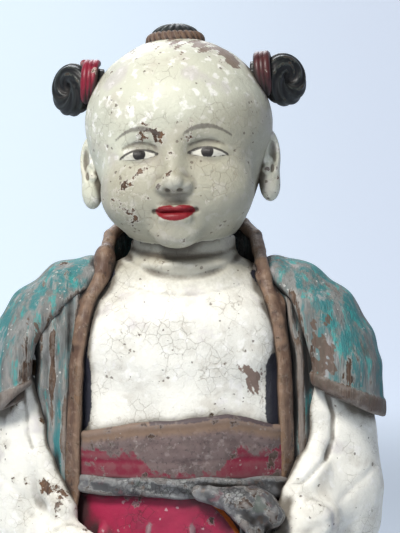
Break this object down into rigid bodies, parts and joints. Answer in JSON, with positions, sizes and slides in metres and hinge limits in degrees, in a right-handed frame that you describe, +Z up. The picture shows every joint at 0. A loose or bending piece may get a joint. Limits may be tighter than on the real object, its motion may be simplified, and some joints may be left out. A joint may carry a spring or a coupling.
{
  "type": "carved attendant figure",
  "caption": "Standing carved boy attendant in an open coat with a knotted sash, on a stepped plinth, with a hidden deposit cavity behind a lift-off back cover.",
  "frame": {"origin": "middle of the plinth's underside, on the surface it stands on", "axes": "+Z up; the figure faces -Y; its left hand is towards +X"},
  "size_m": [0.2014, 0.1327, 0.4188],
  "materials": {
    "painted_skin": "aged cream paint over gesso, satin, cracked",
    "coat_paint": "worn teal paint on grained wood, matt",
    "edging_paint": "brown lacquer, satin",
    "robe_paint": "worn crimson paint, satin",
    "sash_paint": "worn brown and crimson paint",
    "belt_paint": "worn grey paint",
    "hair_paint": "black lacquer, worn",
    "cord_paint": "crimson paint",
    "band_paint": "brown lacquer",
    "shoe_paint": "black lacquer, worn",
    "plinth_paint": "dark red lacquer, worn",
    "bare_wood": "bare",
    "paper": "rolled",
    "string": "twisted"
  },
  "bodies": {
    "figure": {"plinth": "plinth_paint", "left_shoe": "shoe_paint", "right_shoe": "shoe_paint", "left_leg": "robe_paint", "right_leg": "robe_paint", "foot_dowels": "bare_wood", "waist_dowels": "bare_wood", "arm_dowels": "bare_wood", "hair_dowels": "bare_wood", "skirt": "robe_paint", "trunk": "painted_skin", "head": "painted_skin", "left_ear": "painted_skin", "right_ear": "painted_skin", "left_arm": "painted_skin", "right_arm": "painted_skin", "left_hand": "painted_skin", "right_hand": "painted_skin", "coat_back": "coat_paint", "left_coat_front": "coat_paint", "right_coat_front": "coat_paint", "left_sleeve": "coat_paint", "right_sleeve": "coat_paint", "collar": "coat_paint", "left_edging": "edging_paint", "right_edging": "edging_paint", "sash": "sash_paint", "belt": "belt_paint", "sash_knot": "belt_paint", "left_bun": "hair_paint", "right_bun": "hair_paint", "crown_tuft": "hair_paint", "left_bun_tie": "cord_paint", "right_bun_tie": "cord_paint", "tuft_band": "band_paint", "deposit_roll": "paper", "roll_tie": "string"},
    "cover": {"back_cover": "coat_paint"}
  },
  "joints": [
    {"name": "cover_slide", "type": "slide", "parent": "figure", "child": "cover", "axis": [0, 1, 0], "range_m": [0, 0.03]}
  ]
}
